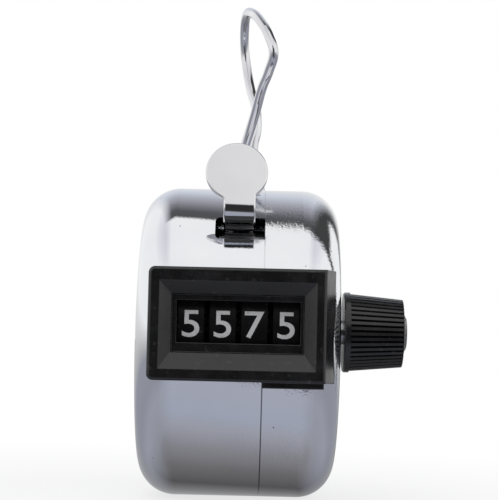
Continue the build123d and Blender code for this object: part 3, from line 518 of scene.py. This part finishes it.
def bent_wire():
    """The finger ring as one smooth bent wire, which stands for the CAD ring."""
    hinge = Vector(joints["ring_swing"]["pos_m"])
    curve = bpy.data.curves.new("finger_ring_wire", "CURVE")
    curve.dimensions = "3D"
    curve.bevel_depth = WIRE_RADIUS
    curve.bevel_resolution = WIRE_SIDES
    curve.resolution_u = WIRE_STEPS
    curve.use_fill_caps = True
    line = curve.splines.new("BEZIER")
    line.bezier_points.add(len(RING_LINE) - 1)
    for point, offset in zip(line.bezier_points, RING_LINE):
        point.co = hinge + Vector(offset) * MM
        point.handle_left_type = "AUTO"
        point.handle_right_type = "AUTO"
    # Both hooks run straight along the hinge before they bend up.
    straight = Vector((HOOK_STRAIGHT, 0, 0))
    for hook in (line.bezier_points[1], line.bezier_points[-2]):
        hook.handle_left_type = "FREE"
        hook.handle_right_type = "FREE"
        hook.handle_left = hook.co + straight
        hook.handle_right = hook.co - straight
    carrier = bpy.data.objects.new("finger_ring_wire", curve)
    bpy.context.scene.collection.objects.link(carrier)
    bpy.context.view_layer.update()
    shown = carrier.evaluated_get(bpy.context.evaluated_depsgraph_get())
    mesh = bpy.data.meshes.new_from_object(shown)
    bpy.data.objects.remove(carrier)
    mesh.polygons.foreach_set("use_smooth", [True] * len(mesh.polygons))
    piece = link("finger_ring_wire", mesh, materials["ring_wire"])
    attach(piece, "ring")
    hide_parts("finger_ring")


bent_wire()

# ---------------------------------------------------------------- floor, light and camera

case_low = low("left_shell")
case_middle = Vector(((case_low.x + high("right_shell").x) / 2, 0, 0))

FLOOR_HALF = 3.0
FLOOR_GAP = 0.02 * MM
# The floor takes a faint shadow up to the first distance and none past the second.
SHADOW_FADE = (0.02, 0.12)
SHADOW_LOST = 0.70


def lay_floor():
    """A plain white floor under the case, with a soft shadow that fades out a little way off."""
    level = case_low.z - FLOOR_GAP
    corners = [
        (-FLOOR_HALF, -FLOOR_HALF, level),
        (FLOOR_HALF, -FLOOR_HALF, level),
        (FLOOR_HALF, FLOOR_HALF, level),
        (-FLOOR_HALF, FLOOR_HALF, level),
    ]
    mesh = bpy.data.meshes.new("floor")
    mesh.from_pydata(corners, [], [(0, 1, 2, 3)])
    material, tree, shader, place = new_material("floor")
    shader.inputs["Base Color"].default_value = (0.90, 0.90, 0.90, 1)
    shader.inputs["Roughness"].default_value = 0.8
    glow = tree.nodes.new("ShaderNodeEmission")
    glow.inputs["Color"].default_value = (1, 1, 1, 1)
    glow.inputs["Strength"].default_value = 1.0
    length = tree.nodes.new("ShaderNodeVectorMath")
    length.operation = "LENGTH"
    tree.links.new(place, length.inputs[0])
    far = remap(tree, length.outputs["Value"], *SHADOW_FADE, SHADOW_LOST, 1.0)
    blend = tree.nodes.new("ShaderNodeMixShader")
    tree.links.new(far, blend.inputs["Fac"])
    tree.links.new(shader.outputs["BSDF"], blend.inputs[1])
    tree.links.new(glow.outputs["Emission"], blend.inputs[2])
    tree.links.new(blend.outputs["Shader"], tree.nodes["Material Output"].inputs["Surface"])
    floor = link("floor", mesh, material)
    floor.visible_glossy = False


def colour_ramp(tree, value, stops):
    """A colour chosen by a value, from (position, colour) stops."""
    ramp = tree.nodes.new("ShaderNodeValToRGB")
    tree.links.new(value, ramp.inputs["Fac"])
    elements = ramp.color_ramp.elements
    while len(elements) < len(stops):
        elements.new(1.0)
    for element, (position, colour) in zip(elements, stops):
        element.position = position
        element.color = (*colour, 1.0)
    return ramp.outputs["Color"]


def grey(value):
    """A neutral tone."""
    return (value, value, value)


# The studio round the case's own axis, in degrees: 0 is the front horizon and 90 is overhead
ROUND_TONES = [
    (-180, grey(0.45)),
    (-135, (0.100, 0.098, 0.100)),
    (-112, (0.170, 0.167, 0.172)),
    (-92, (0.265, 0.262, 0.285)),
    (-72, (0.38, 0.385, 0.44)),
    (-59, (0.40, 0.43, 0.52)),
    (-34, (0.43, 0.44, 0.51)),
    (-30, grey(0.10)),
    (-26, grey(0.03)),
    (18, grey(0.03)),
    (26, grey(0.88)),
    (60, grey(1.0)),
    (96, grey(0.98)),
    (98, grey(0.09)),
    (106, (0.10, 0.10, 0.11)),
    (122, (0.37, 0.37, 0.41)),
    (142, (0.66, 0.70, 0.78)),
    (168, grey(0.85)),
]
# The studio to either side, by height: 0 is straight down and 1 is straight up
SIDE_TONES = [
    (0.0, (0.22, 0.22, 0.23)),
    (0.05, (0.34, 0.35, 0.40)),
    (0.20, (0.36, 0.37, 0.43)),
    (0.30, (0.31, 0.32, 0.37)),
    (0.43, (0.33, 0.34, 0.39)),
    (0.48, grey(0.55)),
    (0.56, grey(1.0)),
    (0.84, grey(1.0)),
    (0.97, (0.70, 0.70, 0.77)),
]
# Where the dark screen starts, and its bright gap, in degrees round from the front once the lean is added
SCREEN_TONE = grey(0.06)
SCREEN_LEAN = 30
SCREEN_START = (122, 124.5)
GAP_START = (128.5, 130)
GAP_END = (156, 158)
GAP_TOP = (0.48, 0.56)
SCREEN_FOOT = (-0.16, -0.08)


def past(tree, value, edge):
    """0 before a soft edge and 1 past it."""
    return remap(tree, value, *edge, 0.0, 1.0)


def before(tree, value, edge):
    """1 before a soft edge and 0 past it."""
    return remap(tree, value, *edge, 1.0, 0.0)


def in_radians(edge):
    """An edge given in degrees."""
    return [radians(angle) for angle in edge]


def round_studio(tree, x, front, z):
    """The studio's tone by the angle round the case's axis. The tent's edge hangs a little askew."""
    turn = combine(tree, "ARCTAN2", z, front)
    askew = remap(tree, x, -0.05, 0.05, radians(-8), radians(3.5))
    ring = remap(tree, combine(tree, "ADD", turn, askew), -pi, pi, 0.0, 1.0)
    return colour_ramp(tree, ring, [((angle + 180) / 360, tone) for angle, tone in ROUND_TONES])


def dark_screen(tree, x, front, z):
    """How much of a dark screen is seen: it stands at the right and behind, and leans over the case."""
    around = combine(tree, "ARCTAN2", x, front)
    lean = combine(tree, "ADD", around, combine(tree, "MULTIPLY", z, radians(SCREEN_LEAN)))
    gap = combine(
        tree,
        "MULTIPLY",
        past(tree, lean, in_radians(GAP_START)),
        before(tree, lean, in_radians(GAP_END)),
    )
    gap = combine(tree, "MULTIPLY", gap, before(tree, z, GAP_TOP))
    screen = past(tree, lean, in_radians(SCREEN_START))
    screen = combine(tree, "MULTIPLY", screen, combine(tree, "SUBTRACT", 1.0, gap))
    screen = combine(tree, "MULTIPLY", screen, past(tree, x, (0.0, 0.05)))
    return combine(tree, "MULTIPLY", screen, past(tree, z, SCREEN_FOOT))


def side_share(tree, x, z):
    """How far a direction counts as sideways, which differs above and below the horizon."""
    sideways = combine(tree, "ABSOLUTE", x, 0.0)
    upper = past(tree, sideways, (0.24, 0.44))
    lower = past(tree, sideways, (0.05, 0.65))
    return blend_values(tree, past(tree, z, (-0.10, 0.15)), lower, upper)


def studio_world():
    """A studio seen by reflections: a white tent over the front, a dim room behind, above and below."""
    world = bpy.data.worlds.new("studio")
    bpy.context.scene.world = world
    world.use_nodes = True
    tree = world.node_tree
    place = tree.nodes.new("ShaderNodeTexCoord")
    split = tree.nodes.new("ShaderNodeSeparateXYZ")
    tree.links.new(place.outputs["Generated"], split.inputs["Vector"])
    x, y, z = split.outputs
    front = combine(tree, "MULTIPLY", y, -1.0)
    sides = colour_ramp(tree, remap(tree, z, -1.0, 1.0, 0.0, 1.0), SIDE_TONES)
    sides = mix_colour(tree, dark_screen(tree, x, front, z), sides, SCREEN_TONE)
    reflected = mix_colour(tree, side_share(tree, x, z), round_studio(tree, x, front, z), sides)

    # The camera itself sees plain white paper.
    room = tree.nodes["Background"]
    tree.links.new(reflected, room.inputs["Color"])
    paper = tree.nodes.new("ShaderNodeBackground")
    paper.inputs["Color"].default_value = (1, 1, 1, 1)
    ray = tree.nodes.new("ShaderNodeLightPath")
    blend = tree.nodes.new("ShaderNodeMixShader")
    tree.links.new(ray.outputs["Is Camera Ray"], blend.inputs["Fac"])
    tree.links.new(room.outputs["Background"], blend.inputs[1])
    tree.links.new(paper.outputs["Background"], blend.inputs[2])
    tree.links.new(blend.outputs["Shader"], tree.nodes["World Output"].inputs["Surface"])


KEY_PLACE = Vector((-0.15, -0.35, 0.45))
KEY_SIZE = 0.30
KEY_POWER = 0.5


def hang_key_light():
    """A square soft light at the upper left, turned to the case and not seen in the chrome."""
    light = bpy.data.lights.new("soft_key", "AREA")
    light.shape = "SQUARE"
    light.size = KEY_SIZE
    light.energy = KEY_POWER
    lamp = bpy.data.objects.new("soft_key", light)
    lamp.location = KEY_PLACE
    lamp.rotation_euler = (case_middle - KEY_PLACE).to_track_quat("-Z", "Y").to_euler()
    lamp.visible_glossy = False
    bpy.context.scene.collection.objects.link(lamp)


CAMERA_DISTANCE = 0.250
CAMERA_SIDE = 1.26 * MM
CAMERA_PITCH = radians(3.2)
CAMERA_ROLL = radians(1.35)
SENSOR = 36.0
FOCAL_IN_FRAMES = 3.30


def place_camera():
    """A long lens level with the case's middle, looking up a little and rolled slightly."""
    camera = bpy.data.cameras.new("camera")
    camera.sensor_width = SENSOR
    camera.lens = SENSOR * FOCAL_IN_FRAMES
    camera.clip_start = 0.01
    holder = bpy.data.objects.new("camera", camera)
    place = case_middle + Vector((CAMERA_SIDE, -CAMERA_DISTANCE, 0))
    level = Matrix.Rotation(pi / 2 + CAMERA_PITCH, 4, "X")
    roll = Matrix.Rotation(CAMERA_ROLL, 4, "Z")
    holder.matrix_world = Matrix.Translation(place) @ level @ roll
    bpy.context.scene.collection.objects.link(holder)
    bpy.context.scene.camera = holder


lay_floor()
studio_world()
hang_key_light()
place_camera()
bpy.context.scene.view_settings.view_transform = "Standard"
